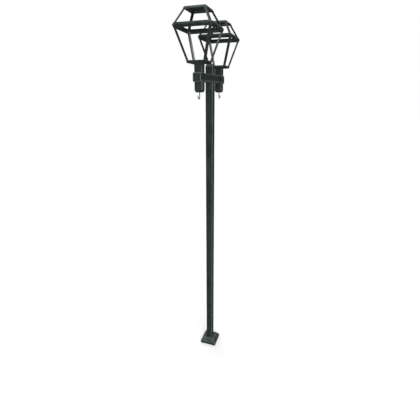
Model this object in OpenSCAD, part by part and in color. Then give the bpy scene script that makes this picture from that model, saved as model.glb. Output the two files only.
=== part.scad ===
// Twin-lantern lamp post: a square tube post on a bolted base plate, with a hipped base cover,
// a square tube arm across its head, two open-framed lanterns above the arm and two hooks below it.
// Millimetres. The origin is the middle of the base plate's underside, +Z is up, +X runs along the arm.

/* [Post] */
// Width of the square post tube
post_w = 100; // [80:1:120]
// Wall of the post tube
post_wall = 5; // [4:0.5:8]
// Outer corner radius of the square tubes
tube_corner_r = 7.5; // [6:0.5:12]
// Length of post tube that stands above the arm
post_above_arm = 97; // [70:1:200]

/* [Base] */
// Thickness of the base plate
plate_t = 20; // [16:1:28]
// Width of the hipped base cover
cover_w = 264; // [250:1:330]
// Height of the cover's upright skirt
cover_skirt_h = 44.5; // [32:0.5:64]
// Width of the flat top of the cover
cover_top_w = 172; // [140:1:200]
// Height of the flat top of the cover above the ground
cover_h = 106.5; // [90:0.5:130]
// Wall of the cover
cover_wall = 5; // [3:0.5:8]
// Distance between anchor bolt holes
anchor_spacing = 190; // [165:1:200]
// Diameter of the anchor bolt holes
anchor_hole_d = 22; // [18:1:26]
// Diameter of the cable hole in the base plate
cable_hole_d = 60; // [40:1:66]
// Leg of the fillet weld between post and base plate
base_weld_leg = 8; // [5:0.5:10]
// Depth of a cover screw in the base plate's edge
cover_screw_depth = 16; // [10:1:18]

/* [Arm] */
// Height of the arm's underside above the ground
arm_underside_z = 4333; // [3000:1:6000]
// Width and height of the square arm tube
arm_w = 100; // [80:1:120]
// Wall of the arm tube
arm_wall = 5; // [4:0.5:8]
// Distance between the two lantern centres
lantern_spacing = 805; // [680:1:1100]
// Length of arm beyond each drop tube, with its end plate
arm_overhang = 47.5; // [20:0.5:90]
// Thickness of the plates that close the arm's ends
arm_end_t = 5; // [3:0.5:8]
// Diameter of the cable holes in the arm's walls
wire_hole_d = 30; // [16:1:40]

/* [Drop tubes and stems] */
// Width of the square tubes above and below the arm: the stems and the drop tubes
drop_w = 100; // [80:1:120]
// Wall of the stems and the drop tubes
drop_wall = 4; // [3:0.5:6]
// Length of drop tube below the arm
drop_below_arm = 91; // [70:1:180]
// Length of stem between the arm and the lantern tray
stem_above_arm = 101; // [60:1:200]
// Thickness of the plate welded inside the stem's head
stem_plate_t = 10; // [8:1:14]

/* [End caps] */
// Height of a cap's chamfered head
cap_h = 28; // [20:1:40]
// Inset of the chamfer on each side
cap_inset = 14; // [8:1:20]
// Depth of the cap's spigot inside its tube
cap_spigot = 40; // [28:1:60]
// Wall of the cap's spigot
cap_wall = 8; // [6:0.5:12]
// Thickness of the cap's end wall
cap_end_t = 10; // [8:0.5:14]

/* [Hooks] */
// Diameter of the hook's rod
hook_rod_d = 11; // [8:0.5:14]
// Radius of the hook's bend at the middle of the rod
hook_bend_r = 29; // [20:1:45]
// Straight shank below the cap
hook_shank = 47; // [30:1:90]
// Straight tip after the bend
hook_tip = 6; // [2:1:20]
// Width of the collar's ledge around the rod
hook_ledge = 3.5; // [2:0.5:6]
// Height of the collar under the cap
hook_collar_h = 3; // [2:0.5:6]

/* [Lantern] */
// Width of the square lantern tray across its rim
tray_w = 240; // [200:1:290]
// Width of the tray across its floor
tray_floor_w = 228; // [180:1:240]
// Height of the tray's rim
tray_rim_h = 29.5; // [20:0.5:40]
// Thickness of the tray's sheet
tray_t = 4; // [3:0.5:6]
// Width of the clamp plate inside the tray
clamp_plate_w = 130; // [110:1:150]
// Thickness of the clamp plate
clamp_plate_t = 5; // [4:0.5:8]
// Distance from a tray bolt's middle to the edge of the stem's plate
bolt_edge = 13; // [10:0.5:16]
// Diameter of the cable hole under each lamp
lamp_hole_d = 30; // [20:1:34]
// Height from the tray's rim to the waist
lower_h = 346; // [260:1:460]
// Width across the waist, over the corner bars
waist_w = 457; // [380:1:560]
// Height from the waist to the underside of the roof
upper_h = 186.5; // [140:0.5:260]
// Width across the head, over the corner bars
head_w = 244; // [200:1:320]
// Leg of the lower corner angles
lower_leg = 27; // [22:1:34]
// Leg of the upper corner angles
upper_leg = 24; // [22:1:30]
// Thickness of the corner angles
angle_t = 3.5; // [3:0.5:4.5]
// Width of the waist band's lower flange
band_lower_w = 30; // [22:1:36]
// Width of the waist band's upper flange
band_upper_w = 27; // [22:1:36]
// Width of the roof's folded skirts
skirt_w = 25; // [20:1:34]
// Thickness of the waist band and of the roof sheet
band_t = 2; // [1.5:0.5:3]

/* [Fasteners and fits] */
// Diameter of the frame rivets
rivet_d = 6; // [4:0.5:6.5]
// Diameter of the tray bolts and cover screws
bolt_d = 8; // [6:1:10]
// Diameter of the cap screws
screw_d = 6; // [5:0.5:8]
// Gap between pieces that are welded, riveted or laid together
seat_gap = 0.2; // [0.1:0.05:0.3]
// Gap on each side of a spigot inside its tube
slide_gap = 0.3; // [0.2:0.05:0.5]
// Gap around a screw, bolt or rivet in its hole
shank_gap = 0.1; // [0.05:0.05:0.2]
// Gap between the base cover and the post
cover_gap = 1.5; // [1:0.5:3]

/* [Hidden] */

$fn = 48;
paint = [0.17, 0.20, 0.185];
bare_steel = [0.36, 0.38, 0.38];
LEFT = -1;
RIGHT = 1;
cut = 1; // how far a cutting tool runs past the face that it opens
sharpest_corner = 0.5; // least corner radius that rolling leaves inside a tube
function inner_corner(outer_r, inset) = max(outer_r - inset, sharpest_corner);

// Base
cover_in_w = cover_w - 2 * cover_wall;
plate_w = cover_in_w - 2 * slide_gap;
cover_screw_z = plate_t / 2;
csk_d = 2; // countersunk head, in shank diameters
csk_h = 0.5; // depth of the countersunk head, in shank diameters

// Post and arm
arm_top_z = arm_underside_z + arm_w;
arm_middle_z = arm_underside_z + arm_w / 2;
post_top_z = arm_top_z + post_above_arm;
stem_x = lantern_spacing / 2;
arm_reach = stem_x + drop_w / 2 + arm_overhang;
cope_depth = tube_corner_r / 2; // how far a tube's end laps over the arm's rounded edges

// Drop tubes and stems
drop_bottom_z = arm_underside_z - drop_below_arm;
stem_plate_w = drop_w - 2 * drop_wall - 2 * seat_gap;

// Hooks
nut_flats = 1.6; // across the flats, in rod diameters
nut_h = 0.8; // height, in rod diameters
hook_thread_out = 3; // thread that stands past the nut
cap_underside_z = drop_bottom_z - cap_h;
hook_nut_z = cap_underside_z + cap_end_t + seat_gap;

// Lantern levels and the two leaning faces that the corner bars follow
tray_z = arm_top_z + stem_above_arm + seat_gap;
rim_top_z = tray_z + tray_rim_h;
waist_z = rim_top_z + lower_h;
roof_z = waist_z + upper_h;
lower_slope = (waist_w - tray_w) / 2 / lower_h;
upper_slope = (waist_w - head_w) / 2 / upper_h;
lower_lean = atan(lower_slope);
upper_lean = atan(upper_slope);
function lower_half(z) = tray_w / 2 + (z - rim_top_z) * lower_slope;
function upper_half(z) = waist_w / 2 - (z - waist_z) * upper_slope;

// Tray bolts
bolt_head_flats = 1.63; // across the flats, in bolt diameters
bolt_head_h = 0.65; // height, in bolt diameters
tray_bolt_spacing = stem_plate_w - 2 * bolt_edge;

// Rivets
rivet_head_d = 1.8; // head, in rivet diameters
rivet_head_h = 0.35; // crown of the head, in rivet diameters
rivet_fit_d = rivet_d + 2 * shank_gap;
lower_rivet_z = waist_z - band_lower_w / 2 * cos(lower_lean);
waist_rivet_z = waist_z + band_upper_w / 2 * cos(upper_lean);
roof_rivet_z = roof_z - skirt_w / 2 * cos(upper_lean);

// A square with round corners, exact arcs at its corners
module round_square(w, r) {
    square([w, w - 2 * r], center = true);
    square([w - 2 * r, w], center = true);
    for (x = [-1, 1], y = [-1, 1])
        translate([x * (w / 2 - r), y * (w / 2 - r)]) circle(r);
}

// A square tube with round corners, standing on z = 0
module square_tube(w, wall, r, h) {
    difference() {
        linear_extrude(h) round_square(w, r);
        translate([0, 0, -cut]) linear_extrude(h + 2 * cut)
            round_square(w - 2 * wall, inner_corner(r, wall));
    }
}

// A four-sided hipped solid: one outline, mirrored about the axis, seen from the front and from the side
module hipped(outline) {
    span = 2 * max([for (p = outline) p[0]]) + 2 * cut;
    whole = concat(outline, [for (i = [len(outline) - 1:-1:0]) [-outline[i][0], outline[i][1]]]);
    intersection() {
        rotate([90, 0, 0]) linear_extrude(span, center = true) polygon(whole);
        rotate([90, 0, 90]) linear_extrude(span, center = true) polygon(whole);
    }
}

// A countersunk screw, its head's face at z = 0 and its shank down the -Z axis
module countersunk_screw(d, length, gap = 0) {
    head_r = d * csk_d / 2 + gap;
    shank_r = d / 2 + gap;
    rotate_extrude()
        polygon([[0, 0], [head_r, 0], [shank_r, -d * csk_h], [shank_r, -length - gap], [0, -length - gap]]);
}

// A hexagonal nut or head, standing on z = 0
module hexagon(across_flats, h) {
    cylinder(h = h, d = across_flats / cos(30), $fn = 6);
}

// ---- Base ----

module anchor_grid() {
    for (x = [-1, 1], y = [-1, 1])
        translate([x * anchor_spacing / 2, y * anchor_spacing / 2, 0]) children();
}

module cover_screw_places() {
    for (side = [0:3])
        rotate([0, 0, 90 * side]) translate([cover_w / 2, 0, cover_screw_z]) rotate([0, 90, 0]) children();
}

module base_plate() {
    color(paint) difference() {
        translate([-plate_w / 2, -plate_w / 2, 0]) cube([plate_w, plate_w, plate_t]);
        anchor_grid() translate([0, 0, -cut]) cylinder(h = plate_t + 2 * cut, d = anchor_hole_d);
        translate([0, 0, -cut]) cylinder(h = plate_t + 2 * cut, d = cable_hole_d);
        cover_screw_places() countersunk_screw(bolt_d, cover_wall + cover_screw_depth, shank_gap);
    }
}

// The fillet weld round the post's foot, mitred at the corners
module base_weld() {
    foot = post_w / 2 + seat_gap;
    color(paint) translate([0, 0, plate_t + seat_gap]) difference() {
        hipped([[foot + base_weld_leg, 0], [foot, base_weld_leg]]);
        translate([0, 0, -cut]) linear_extrude(base_weld_leg + 2 * cut)
            round_square(2 * foot, tube_corner_r + seat_gap);
    }
}

// The hipped cover that drops over the post and hides the plate and its anchor bolts
module base_cover() {
    run = (cover_w - cover_top_w) / 2;
    rise = cover_h - cover_skirt_h;
    slant = norm([run, rise]);
    in_half = cover_in_w / 2;
    in_skirt_z = cover_skirt_h - cover_wall * (slant - rise) / run;
    in_top_half = in_half - run * (cover_h - cover_wall - in_skirt_z) / rise;
    color(paint) difference() {
        hipped([[cover_w / 2, slide_gap], [cover_w / 2, cover_skirt_h], [cover_top_w / 2, cover_h]]);
        hipped([[in_half, -cut], [in_half, in_skirt_z], [in_top_half, cover_h - cover_wall]]);
        linear_extrude(cover_h + cut) round_square(post_w + 2 * cover_gap, tube_corner_r + cover_gap);
        cover_screw_places() countersunk_screw(bolt_d, cover_wall + cover_screw_depth, shank_gap);
    }
}

module cover_screws() {
    color(bare_steel) cover_screw_places()
        translate([0, 0, -shank_gap]) countersunk_screw(bolt_d, cover_wall + cover_screw_depth - cut);
}

// ---- Post and end caps ----

// The outside of the arm and its seat, which shapes the end of each tube that meets it
module arm_cope() {
    translate([-arm_reach - cut, 0, arm_middle_z]) rotate([90, 0, 90]) linear_extrude(2 * (arm_reach + cut))
        round_square(arm_w + 2 * seat_gap, tube_corner_r + seat_gap);
}

module post_tube() {
    foot_z = plate_t + seat_gap;
    color(paint) difference() {
        translate([0, 0, foot_z])
            square_tube(post_w, post_wall, tube_corner_r, arm_underside_z + cope_depth - foot_z);
        arm_cope();
    }
}

// The stub of post tube that stands on the arm
module post_head() {
    foot_z = arm_top_z - cope_depth;
    color(paint) difference() {
        translate([0, 0, foot_z]) square_tube(post_w, post_wall, tube_corner_r, post_top_z - foot_z);
        arm_cope();
        translate([0, 0, post_top_z]) cap_screw_places(post_w)
            countersunk_screw(screw_d, post_wall + cap_wall, shank_gap);
    }
}

// A cap's own frame: z = 0 is the tube's end, the head stands above it and the spigot hangs in the tube
module cap_screw_places(tube_w) {
    for (turn = [0, 180])
        rotate([0, 0, turn]) translate([0, -tube_w / 2, -cap_spigot / 2]) rotate([90, 0, 0]) children();
}

module end_cap(tube_w, tube_wall) {
    spigot_w = tube_w - 2 * tube_wall - 2 * slide_gap;
    spigot_r = inner_corner(tube_corner_r, tube_wall + slide_gap);
    pocket_w = spigot_w - 2 * cap_wall;
    difference() {
        union() {
            intersection() {
                hipped([[tube_w / 2, seat_gap], [tube_w / 2 - cap_inset, cap_h]]);
                linear_extrude(cap_h) round_square(tube_w, tube_corner_r);
            }
            translate([0, 0, -cap_spigot]) linear_extrude(cap_spigot + cap_h / 2)
                round_square(spigot_w, spigot_r);
        }
        translate([-pocket_w / 2, -pocket_w / 2, -cap_spigot - cut])
            cube([pocket_w, pocket_w, cap_spigot + cut]);
        pocket_head(pocket_w / 2);
        cap_screw_places(tube_w) countersunk_screw(screw_d, tube_wall + cap_wall, shank_gap);
    }
}

// The pocket's round end inside the head, drawn in as far as the chamfer's middle
module pocket_head(pocket_half) {
    translate([0, 0, -cut]) cylinder(h = cap_h - cap_end_t + cut, r = pocket_half - cap_inset / 2);
}

module post_cap() {
    color(paint) translate([0, 0, post_top_z]) end_cap(post_w, post_wall);
}

module drop_cap(side) {
    color(paint) difference() {
        translate([side * stem_x, 0, drop_bottom_z]) mirror([0, 0, 1]) end_cap(drop_w, drop_wall);
        translate([side * stem_x, 0, cap_underside_z - cut])
            cylinder(h = cap_end_t + 2 * cut, d = hook_rod_d + 2 * shank_gap);
    }
}

module cap_screws() {
    color(bare_steel) {
        translate([0, 0, post_top_z]) cap_screw_places(post_w)
            translate([0, 0, -shank_gap]) countersunk_screw(screw_d, post_wall + cap_wall - cut);
        for (side = [LEFT, RIGHT])
            translate([side * stem_x, 0, drop_bottom_z]) mirror([0, 0, 1]) cap_screw_places(drop_w)
                translate([0, 0, -shank_gap]) countersunk_screw(screw_d, drop_wall + cap_wall - cut);
    }
}

// ---- Arm ----

// A hole for the cables through one wall of the arm, at the post or under a stem
module arm_cable_hole(x, z) {
    translate([x, 0, z - cut]) cylinder(h = arm_wall + 2 * cut, d = wire_hole_d);
}

module arm_tube() {
    length = 2 * (arm_reach - arm_end_t - seat_gap);
    color(paint) difference() {
        translate([-length / 2, 0, arm_middle_z]) rotate([90, 0, 90])
            square_tube(arm_w, arm_wall, tube_corner_r, length);
        arm_cable_hole(0, arm_underside_z);
        for (side = [LEFT, RIGHT]) arm_cable_hole(side * stem_x, arm_top_z - arm_wall);
    }
}

module arm_end(side) {
    color(paint) translate([side * (arm_reach - arm_end_t / 2), 0, arm_middle_z])
        rotate([90, 0, 90]) linear_extrude(arm_end_t, center = true) round_square(arm_w, tube_corner_r);
}

// ---- Drop tubes, stems and hooks ----

module drop_tube(side) {
    color(paint) difference() {
        translate([side * stem_x, 0, drop_bottom_z])
            square_tube(drop_w, drop_wall, tube_corner_r, drop_below_arm + cope_depth);
        arm_cope();
        translate([side * stem_x, 0, drop_bottom_z]) mirror([0, 0, 1])
            cap_screw_places(drop_w) countersunk_screw(screw_d, drop_wall + cap_wall, shank_gap);
    }
}

// The J-hook: a threaded shank, a collar under the cap, a half-round bend and a rounded tip
module hook(side) {
    shank_top = hook_nut_z + hook_rod_d * nut_h + hook_thread_out;
    bend_z = cap_underside_z - seat_gap - hook_shank;
    color(paint) translate([side * stem_x, 0, 0]) rotate([0, 0, side == LEFT ? 180 : 0]) {
        translate([0, 0, bend_z]) cylinder(h = shank_top - bend_z, d = hook_rod_d);
        translate([0, 0, cap_underside_z - seat_gap - hook_collar_h])
            cylinder(h = hook_collar_h, d = hook_rod_d + 2 * hook_ledge);
        translate([hook_bend_r, 0, bend_z]) rotate([90, 0, 0]) rotate([0, 0, 180])
            rotate_extrude(angle = 180) translate([hook_bend_r, 0]) circle(d = hook_rod_d);
        translate([2 * hook_bend_r, 0, bend_z]) {
            cylinder(h = hook_tip, d = hook_rod_d);
            translate([0, 0, hook_tip]) sphere(d = hook_rod_d);
        }
    }
}

module hook_nuts() {
    color(bare_steel) for (side = [LEFT, RIGHT])
        translate([side * stem_x, 0, hook_nut_z]) difference() {
            hexagon(hook_rod_d * nut_flats, hook_rod_d * nut_h);
            translate([0, 0, -cut])
                cylinder(h = hook_rod_d * nut_h + 2 * cut, d = hook_rod_d + 2 * shank_gap);
        }
}

module stem(side) {
    foot_z = arm_top_z - cope_depth;
    color(paint) difference() {
        translate([side * stem_x, 0, foot_z])
            square_tube(drop_w, drop_wall, tube_corner_r, tray_z - seat_gap - foot_z);
        arm_cope();
    }
}

module tray_bolt_grid(side) {
    for (x = [-1, 1], y = [-1, 1])
        translate([side * stem_x + x * tray_bolt_spacing / 2, y * tray_bolt_spacing / 2, 0]) children();
}

// The shared holes of the stem plate, the tray and the clamp plate
module tray_bolt_holes(side, z, h) {
    tray_bolt_grid(side) translate([0, 0, z - cut])
        cylinder(h = h + 2 * cut, d = bolt_d + 2 * shank_gap);
    translate([side * stem_x, 0, z - cut]) cylinder(h = h + 2 * cut, d = lamp_hole_d);
}

module stem_plate(side) {
    z = tray_z - seat_gap - stem_plate_t;
    color(paint) difference() {
        translate([side * stem_x, 0, z]) linear_extrude(stem_plate_t)
            round_square(stem_plate_w, inner_corner(tube_corner_r, drop_wall + seat_gap));
        tray_bolt_holes(side, z, stem_plate_t);
    }
}

// ---- Lantern: tray and its fixing ----

// The tray: a pan whose rim flares from its floor up to the feet of the corner bars
module tray(side) {
    flare = (tray_w - tray_floor_w) / 2 / tray_rim_h;
    rim_wall = tray_t / cos(atan(flare));
    floor_in = tray_floor_w / 2 + flare * tray_t - rim_wall;
    mouth_in = tray_w / 2 + flare * cut - rim_wall;
    color(paint) difference() {
        translate([side * stem_x, 0, tray_z]) difference() {
            hipped([[tray_floor_w / 2, 0], [tray_w / 2, tray_rim_h]]);
            hipped([[floor_in, tray_t], [mouth_in, tray_rim_h + cut]]);
        }
        tray_bolt_holes(side, tray_z, tray_t);
    }
}

module clamp_plate(side) {
    z = tray_z + tray_t + seat_gap;
    color(paint) difference() {
        translate([side * stem_x - clamp_plate_w / 2, -clamp_plate_w / 2, z])
            cube([clamp_plate_w, clamp_plate_w, clamp_plate_t]);
        tray_bolt_holes(side, z, clamp_plate_t);
    }
}

module tray_bolts(side) {
    head_z = tray_z + tray_t + clamp_plate_t + 2 * seat_gap;
    shank = head_z - tray_z + stem_plate_t;
    color(bare_steel) tray_bolt_grid(side) translate([0, 0, head_z]) {
        hexagon(bolt_d * bolt_head_flats, bolt_d * bolt_head_h);
        translate([0, 0, -shank]) cylinder(h = shank + cut, d = bolt_d);
    }
}

// ---- Lantern: leaning corner angles, mitred waist band and roof ----

// An angle that leans out along one corner edge of a square pyramid, from half-width h0 at z0 to h1 at z1.
// Each leg lies in a side face of the pyramid, and the ends are cut level.
module corner_angle(z0, z1, h0, h1, leg) {
    lean = atan(abs(h1 - h0) / (z1 - z0));
    wall = angle_t / cos(lean);
    reach = leg / cos(atan(sin(lean)));
    depth = 2 * max(h0, h1) + 2 * cut;
    module flank() {
        intersection() {
            rotate([90, 0, 0]) linear_extrude(depth, center = true)
                polygon([[h0 - wall, z0], [h0, z0], [h1, z1], [h1 - wall, z1]]);
            rotate([90, 0, 90]) linear_extrude(depth, center = true)
                polygon([[h0 - reach, z0], [h0, z0], [h1, z1], [h1 - reach, z1]]);
        }
    }
    flank();
    mirror([1, -1, 0]) flank();
}

// One mitred side of a square band, its section given as half-widths and heights
module mitred_side(section) {
    far = max([for (p = section) p[0]]) + cut;
    low = min([for (p = section) p[1]]) - cut;
    high = max([for (p = section) p[1]]) + cut;
    intersection() {
        rotate([90, 0, 0]) linear_extrude(2 * far, center = true) polygon(section);
        translate([0, 0, low]) linear_extrude(high - low)
            polygon([[0, 0], [far, -far], [far, far]]);
    }
}

// A rivet's frame: z = 0 is the corner angle's outer face, +Z points out of the lantern
module lower_rivet_places() {
    half = lower_half(lower_rivet_z);
    for (side = [0:3], end = [-1, 1])
        rotate([0, 0, 90 * side])
            translate([half, end * (half - (lower_leg + angle_t) / 2), lower_rivet_z])
                rotate([0, 90 + lower_lean, 0]) children();
}

module upper_rivet_places(z) {
    for (side = [0:3], end = [-1, 1])
        rotate([0, 0, 90 * side])
            translate([upper_half(z), end * (upper_half(z) - (upper_leg + angle_t) / 2), z])
                rotate([0, 90 - upper_lean, 0]) children();
}

module rivet_hole() {
    translate([0, 0, -2 * angle_t]) cylinder(h = 2 * angle_t + 2 * band_t + cut, d = rivet_fit_d);
}

module rivet() {
    head_r = rivet_d * rivet_head_d / 2;
    crown = rivet_d * rivet_head_h;
    ball_r = (head_r * head_r + crown * crown) / (2 * crown);
    out = band_t + 2 * seat_gap;
    translate([0, 0, -angle_t - cut]) cylinder(h = angle_t + cut + out + crown / 2, d = rivet_d);
    translate([0, 0, out]) intersection() {
        translate([0, 0, crown - ball_r]) sphere(r = ball_r);
        cylinder(h = crown + cut, r = head_r);
    }
    translate([0, 0, -angle_t - seat_gap - crown]) cylinder(h = crown, r = head_r);
}

module lower_bar(side, corner) {
    foot_z = rim_top_z + seat_gap;
    top_z = waist_z - seat_gap / 2;
    color(paint) translate([side * stem_x, 0, 0]) difference() {
        rotate([0, 0, 90 * corner])
            corner_angle(foot_z, top_z, lower_half(foot_z), lower_half(top_z), lower_leg);
        lower_rivet_places() rivet_hole();
    }
}

module upper_bar(side, corner) {
    foot_z = waist_z + seat_gap / 2;
    top_z = roof_z - seat_gap;
    color(paint) translate([side * stem_x, 0, 0]) difference() {
        rotate([0, 0, 90 * corner])
            corner_angle(foot_z, top_z, upper_half(foot_z), upper_half(top_z), upper_leg);
        upper_rivet_places(waist_rivet_z) rivet_hole();
        upper_rivet_places(roof_rivet_z) rivet_hole();
    }
}

// Where two faces meet that lie a distance t outside the lower and the upper corner bars
function ridge(t) =
    let (rise = t * (1 / cos(upper_lean) - 1 / cos(lower_lean)) / (lower_slope + upper_slope))
    [waist_w / 2 + t / cos(lower_lean) + rise * lower_slope, waist_z + rise];

// One side of the folded waist band: its flanges lap the heads of the lower bars and the feet of the upper
module waist_rail(side, place) {
    inner = ridge(seat_gap);
    outer = ridge(seat_gap + band_t);
    up = inner + band_upper_w * [-sin(upper_lean), cos(upper_lean)];
    down = inner - band_lower_w * [sin(lower_lean), cos(lower_lean)];
    section = [inner, up, up + band_t * [cos(upper_lean), sin(upper_lean)], outer,
        down + band_t * [cos(lower_lean), -sin(lower_lean)], down];
    color(paint) translate([side * stem_x, 0, 0]) difference() {
        rotate([0, 0, 90 * place]) mitred_side(section);
        lower_rivet_places() rivet_hole();
        upper_rivet_places(waist_rivet_z) rivet_hole();
    }
}

// The roof: a flat sheet with four skirts folded down over the heads of the upper bars
module roof(side) {
    lap = seat_gap / cos(upper_lean);
    sheet = band_t / cos(upper_lean);
    low_z = roof_z - skirt_w * cos(upper_lean);
    top_z = roof_z + band_t;
    color(paint) translate([side * stem_x, 0, 0]) difference() {
        hipped([[upper_half(low_z) + lap + sheet, low_z], [upper_half(top_z) + lap + sheet, top_z]]);
        hipped([[upper_half(low_z - cut) + lap, low_z - cut], [upper_half(roof_z) + lap, roof_z]]);
        upper_rivet_places(roof_rivet_z) rivet_hole();
    }
}

module rivets(side) {
    color(paint) translate([side * stem_x, 0, 0]) {
        lower_rivet_places() rivet();
        upper_rivet_places(waist_rivet_z) rivet();
        upper_rivet_places(roof_rivet_z) rivet();
    }
}

base_plate();
base_weld();
base_cover();
cover_screws();
post_tube();
post_head();
post_cap();
arm_tube();
arm_end(LEFT);  // arm_left_end
arm_end(RIGHT);  // arm_right_end
drop_tube(LEFT);  // drop_left
drop_tube(RIGHT);  // drop_right
drop_cap(LEFT);  // drop_cap_left
drop_cap(RIGHT);  // drop_cap_right
cap_screws();
hook(LEFT);  // hook_left
hook(RIGHT);  // hook_right
hook_nuts();
stem(LEFT);  // stem_left
stem(RIGHT);  // stem_right
stem_plate(LEFT);  // stem_plate_left
stem_plate(RIGHT);  // stem_plate_right
tray(LEFT);  // tray_left
tray(RIGHT);  // tray_right
clamp_plate(LEFT);  // clamp_plate_left
clamp_plate(RIGHT);  // clamp_plate_right
tray_bolts(LEFT);  // tray_bolts_left
tray_bolts(RIGHT);  // tray_bolts_right
lower_bar(LEFT, 0);  // lower_bar_left_1
lower_bar(LEFT, 1);  // lower_bar_left_2
lower_bar(LEFT, 2);  // lower_bar_left_3
lower_bar(LEFT, 3);  // lower_bar_left_4
lower_bar(RIGHT, 0);  // lower_bar_right_1
lower_bar(RIGHT, 1);  // lower_bar_right_2
lower_bar(RIGHT, 2);  // lower_bar_right_3
lower_bar(RIGHT, 3);  // lower_bar_right_4
waist_rail(LEFT, 0);  // waist_rail_left_1
waist_rail(LEFT, 1);  // waist_rail_left_2
waist_rail(LEFT, 2);  // waist_rail_left_3
waist_rail(LEFT, 3);  // waist_rail_left_4
waist_rail(RIGHT, 0);  // waist_rail_right_1
waist_rail(RIGHT, 1);  // waist_rail_right_2
waist_rail(RIGHT, 2);  // waist_rail_right_3
waist_rail(RIGHT, 3);  // waist_rail_right_4
upper_bar(LEFT, 0);  // upper_bar_left_1
upper_bar(LEFT, 1);  // upper_bar_left_2
upper_bar(LEFT, 2);  // upper_bar_left_3
upper_bar(LEFT, 3);  // upper_bar_left_4
upper_bar(RIGHT, 0);  // upper_bar_right_1
upper_bar(RIGHT, 1);  // upper_bar_right_2
upper_bar(RIGHT, 2);  // upper_bar_right_3
upper_bar(RIGHT, 3);  // upper_bar_right_4
roof(LEFT);  // roof_left
roof(RIGHT);  // roof_right
rivets(LEFT);  // rivets_left
rivets(RIGHT);  // rivets_right
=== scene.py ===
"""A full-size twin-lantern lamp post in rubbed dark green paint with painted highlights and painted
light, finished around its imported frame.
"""

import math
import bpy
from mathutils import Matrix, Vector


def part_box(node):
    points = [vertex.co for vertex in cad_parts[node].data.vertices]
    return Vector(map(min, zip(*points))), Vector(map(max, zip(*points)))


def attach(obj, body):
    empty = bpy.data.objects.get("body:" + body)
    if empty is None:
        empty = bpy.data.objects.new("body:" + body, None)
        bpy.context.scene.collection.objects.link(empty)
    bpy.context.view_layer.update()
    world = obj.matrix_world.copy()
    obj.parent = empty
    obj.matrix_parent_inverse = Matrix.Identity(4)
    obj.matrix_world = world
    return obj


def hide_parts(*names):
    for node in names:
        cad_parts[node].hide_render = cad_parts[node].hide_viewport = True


bl_info = {
    "name": "Twin-Lantern Lamp Post",
    "version": (1, 0, 0),
    "blender": (4, 5, 0),
    "location": "View3D > Sidebar > Lamp Post",
    "description": "Finishes a twin-lantern lamp post: worn paint, welds, fasteners, plain stage",
    "category": "Object",
}

import bpy
from mathutils import Vector

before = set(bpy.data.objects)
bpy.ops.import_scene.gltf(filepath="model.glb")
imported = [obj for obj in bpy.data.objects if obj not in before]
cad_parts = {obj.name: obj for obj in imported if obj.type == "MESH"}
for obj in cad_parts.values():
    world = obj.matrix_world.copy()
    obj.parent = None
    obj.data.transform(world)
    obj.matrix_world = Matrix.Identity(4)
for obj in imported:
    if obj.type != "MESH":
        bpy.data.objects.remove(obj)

MM = 0.001
BODY = "root"
SIDES = ("left", "right")
OUTWARDS = {"left": -1, "right": 1}
BOTH_WAYS = (-1, 1)
CORNERS = (1, 2, 3, 4)
UPRIGHT = (0, 0, 0)
UPSIDE_DOWN = (math.pi, 0, 0)
QUARTER_TURN = math.pi / 2


def middle(name):
    """The middle of a CAD node's box."""
    low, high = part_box(name)
    return (Vector(low) + Vector(high)) / 2


def half(name):
    """Half the size of a CAD node's box."""
    low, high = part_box(name)
    return (Vector(high) - Vector(low)) / 2


def top(name):
    """The height of a CAD node's highest point."""
    return middle(name).z + half(name).z


def foot(name):
    """The height of a CAD node's lowest point."""
    return middle(name).z - half(name).z


# ---- Sizes that the finish shares with the frame, all in metres ----

ARM_MIDDLE = middle("arm_tube")
ARM_HALF = half("arm_tube")
ARM_TOP = top("arm_tube")
ARM_FOOT = foot("arm_tube")
ARM_END = middle("arm_right_end").x + half("arm_right_end").x
END_PLATE = 2 * half("arm_right_end").x
POST_HALF = half("post_tube").x
STEM_X = middle("stem_right").x
STEM_HALF = half("stem_right").x
COVER_HALF = half("base_cover").x
COVER_TOP = 2 * half("base_cover").z
TRAY_FOOT = foot("tray_right")
RIM_Z = top("tray_right")
WAIST_Z = top("lower_bar_right_1")
RAIL_TOP = top("waist_rail_right_1")
ROOF_Z = top("upper_bar_right_1")
ROOF_TOP = top("roof_right")

# The same, for sizes that no node's box gives
TUBE_CORNER = 7.5 * MM  # outer radius of the square tubes
COVER_TOP_HALF = 86 * MM  # half of the base cover's flat top
COVER_SKIRT = 44.5 * MM  # height of the base cover's upright skirt
RIM_HALF = 120 * MM  # half of a lantern over its tray's rim
WAIST_HALF = 228.5 * MM  # half of a lantern at its waist
HEAD_HALF = 122 * MM  # half of a lantern under its roof
LOWER_LEG = 27 * MM  # leg of the lower corner angles
ENDLESS = 20.0  # a half length past any end, where only the long edges count

# Rounding of edges
COVER_ROUND = 2.0 * MM
POST_CAP_ROUND = 1.5 * MM
DROP_CAP_ROUND = 1.2 * MM
END_PLATE_ROUND = 1.0 * MM
SHEET_ROUND = 0.8 * MM

# Welds: the radius of their drops, and how deep their rows lie in what they join
DROP_STEP = 0.62  # distance between two drops, as a share of their radius
TUBE_WELD = 4.6 * MM
TUBE_WELD_IN, TUBE_WELD_DOWN = 2.6 * MM, 4.2 * MM  # in and down on the arm's round edge
SEAM_WELD, SEAM_SUNK = 2.2 * MM, 0.6 * MM
TRAY_WELD = 3.6 * MM
FOOT_WELD, FOOT_SUNK = 2.1 * MM, 1.2 * MM
MITRE_WELD = 1.2 * MM
WELD_WEAR_AND_HIGHLIGHT = 0.75  # how rubbed the beads are all over, which also paints a highlight along each seam
SMOOTH_ANGLE = math.radians(40)

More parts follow.
